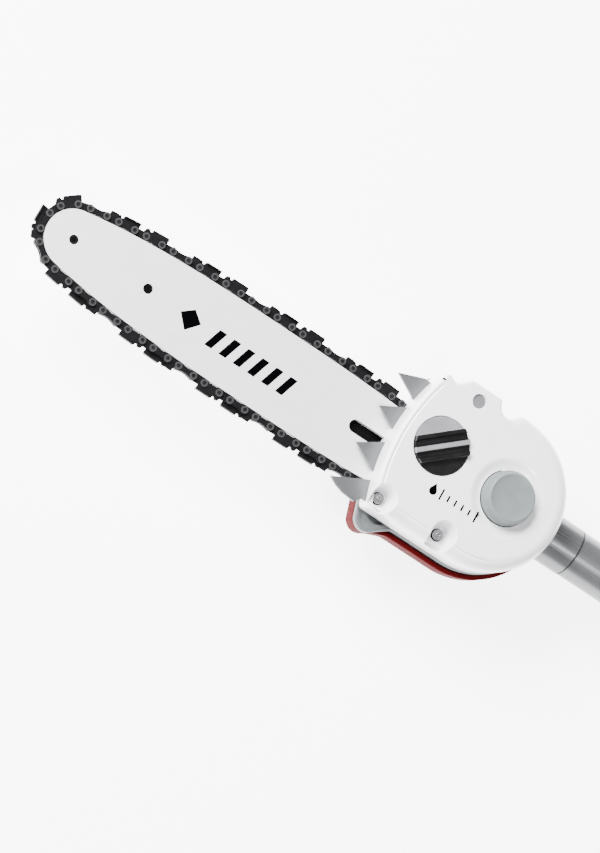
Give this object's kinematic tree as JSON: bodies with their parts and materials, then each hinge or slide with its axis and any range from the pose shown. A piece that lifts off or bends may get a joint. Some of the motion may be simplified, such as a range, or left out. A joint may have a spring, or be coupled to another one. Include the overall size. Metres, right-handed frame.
{
  "type": "telescoping pole saw",
  "caption": "Cordless pole saw: bar and chain on a round-ended gear head with oiler, on a two-part telescoping tube with handle, trigger and slide-on battery.",
  "frame": {"origin": "middle of the object's footprint as it lies on its side, at floor level", "axes": "+X from the bar's nose to the handle, +Y to the saw's upper edge in use, +Z out of the gear head's cover"},
  "size_m": [1.6648, 0.1143, 0.085],
  "materials": {
    "white_plastic": "smooth gloss",
    "grey_housing": "satin",
    "red_housing": "satin",
    "bar_steel": "satin",
    "plate_steel": "satin",
    "chain_steel": "dark oiled",
    "rivet_steel": "polished",
    "zinc_steel": "bright",
    "pole_aluminium": "anodised satin",
    "black_plastic": "fine texture",
    "button_grey": "smooth",
    "black_rubber": "matt",
    "grip_foam": "fine foam",
    "copper_winding": "enamelled",
    "contact_brass": "bright"
  },
  "bodies": {
    "head": {"guide_bar": "bar_steel", "nose_rivet": "bar_steel", "cover_shell": "white_plastic", "mid_frame": "grey_housing", "rear_housing": "red_housing", "cover_screws": "zinc_steel", "housing_screws": "zinc_steel", "spike_plate": "plate_steel", "chain_drive_links": "chain_steel", "chain_cutters_near": "chain_steel", "chain_cutters_far": "chain_steel", "chain_tie_straps": "chain_steel", "chain_rivets": "rivet_steel", "bar_studs": "zinc_steel", "bar_nuts": "zinc_steel", "chain_tensioner": "zinc_steel", "cap_seal": "black_rubber", "oil_pump_body": "black_plastic", "oiler_spring": "zinc_steel", "oil_tank_base": "white_plastic", "shaft_bearings": "zinc_steel", "motor_can": "zinc_steel", "motor_stator": "copper_winding", "pole_socket": "pole_aluminium", "pole_spigot": "pole_aluminium", "seam_ring": "black_rubber", "upper_tube": "pole_aluminium", "tube_end_bush": "black_plastic"},
    "drive": {"drive_sprocket": "chain_steel", "output_shaft": "zinc_steel", "sprocket_clip": "zinc_steel", "output_gear": "zinc_steel"},
    "rotor": {"motor_rotor": "zinc_steel", "motor_shaft": "zinc_steel", "motor_pinion": "zinc_steel"},
    "nose": {"nose_sprocket": "bar_steel"},
    "filler_cap": {"oil_cap": "black_plastic"},
    "oiler": {"oiler_button": "button_grey", "oiler_plunger": "button_grey"},
    "lower_pole": {"lower_tube": "pole_aluminium", "lock_collar": "black_plastic", "collar_bush": "button_grey", "clamp_bolt": "zinc_steel", "foam_grip": "grip_foam", "strap_clamp": "black_plastic", "handle_shell_front": "red_housing", "handle_shell_back": "red_housing", "handle_screws": "zinc_steel", "hinge_pins": "zinc_steel", "handle_springs": "zinc_steel", "switch_and_board": "black_plastic", "battery_terminals": "contact_brass", "battery_rail": "black_plastic"},
    "lever": {"lock_lever": "red_housing"},
    "trigger_body": {"trigger": "black_plastic"},
    "lock_off": {"lock_off_button": "button_grey"},
    "battery": {"battery_case_back": "black_plastic", "battery_case_front": "black_plastic", "battery_cells": "copper_winding"},
    "latch": {"battery_latch": "button_grey"}
  },
  "joints": [
    {"name": "sprocket_spin", "type": "hinge", "parent": "head", "child": "drive", "pos_m": [-0.49759, -0.00645, 0.055], "axis": [0, 0, 1], "continuous": true, "deforming": ["chain_drive_links", "chain_cutters_near", "chain_cutters_far", "chain_tie_straps", "chain_rivets"]},
    {"name": "rotor_spin", "type": "hinge", "parent": "head", "child": "rotor", "pos_m": [-0.52228, 0.0078, 0.025], "axis": [0, 0, 1], "continuous": true},
    {"name": "nose_spin", "type": "hinge", "parent": "head", "child": "nose", "pos_m": [-0.80601, -0.00645, 0.055], "axis": [0, 0, 1], "continuous": true},
    {"name": "oil_cap_turn", "type": "hinge", "parent": "head", "child": "filler_cap", "pos_m": [-0.54959, 0.00775, 0.075], "axis": [0, 0, 1], "range_deg": [0, 90]},
    {"name": "oiler_press", "type": "slide", "parent": "head", "child": "oiler", "axis": [0, 0, -1], "range_m": [0, 0.005], "stiffness_N_per_m": 500, "springref_m": -0.002, "deforming": ["oiler_spring"]},
    {"name": "pole_extend", "type": "slide", "parent": "head", "child": "lower_pole", "axis": [1, 0, 0], "range_m": [0, 0.58]},
    {"name": "lock_lever_turn", "type": "hinge", "parent": "lower_pole", "child": "lever", "pos_m": [-0.29259, 0.03855, 0.046], "axis": [-1, 0, 0], "range_deg": [0, 110]},
    {"name": "trigger_press", "type": "hinge", "parent": "lower_pole", "child": "trigger_body", "pos_m": [0.55441, -0.00245, 0.034], "axis": [0, 0, 1], "range_deg": [0, 12], "stiffness_Nm_per_rad": 0.6, "springref_deg": -8.59, "deforming": ["handle_springs"]},
    {"name": "lock_off_press", "type": "slide", "parent": "lower_pole", "child": "lock_off", "axis": [0, 0, -1], "range_m": [0, 0.004], "stiffness_N_per_m": 400, "springref_m": -0.002},
    {"name": "battery_slide", "type": "slide", "parent": "lower_pole", "child": "battery", "axis": [0, 1, 0], "range_m": [0, 0.08]},
    {"name": "battery_latch_press", "type": "slide", "parent": "battery", "child": "latch", "axis": [0, -1, 0], "range_m": [0, 0.003], "stiffness_N_per_m": 400, "springref_m": -0.002}
  ],
  "couplings": [
    {"joint": "rotor_spin", "follows": "sprocket_spin", "ratio": -3.75},
    {"joint": "nose_spin", "follows": "sprocket_spin", "ratio": 0.85714}
  ]
}
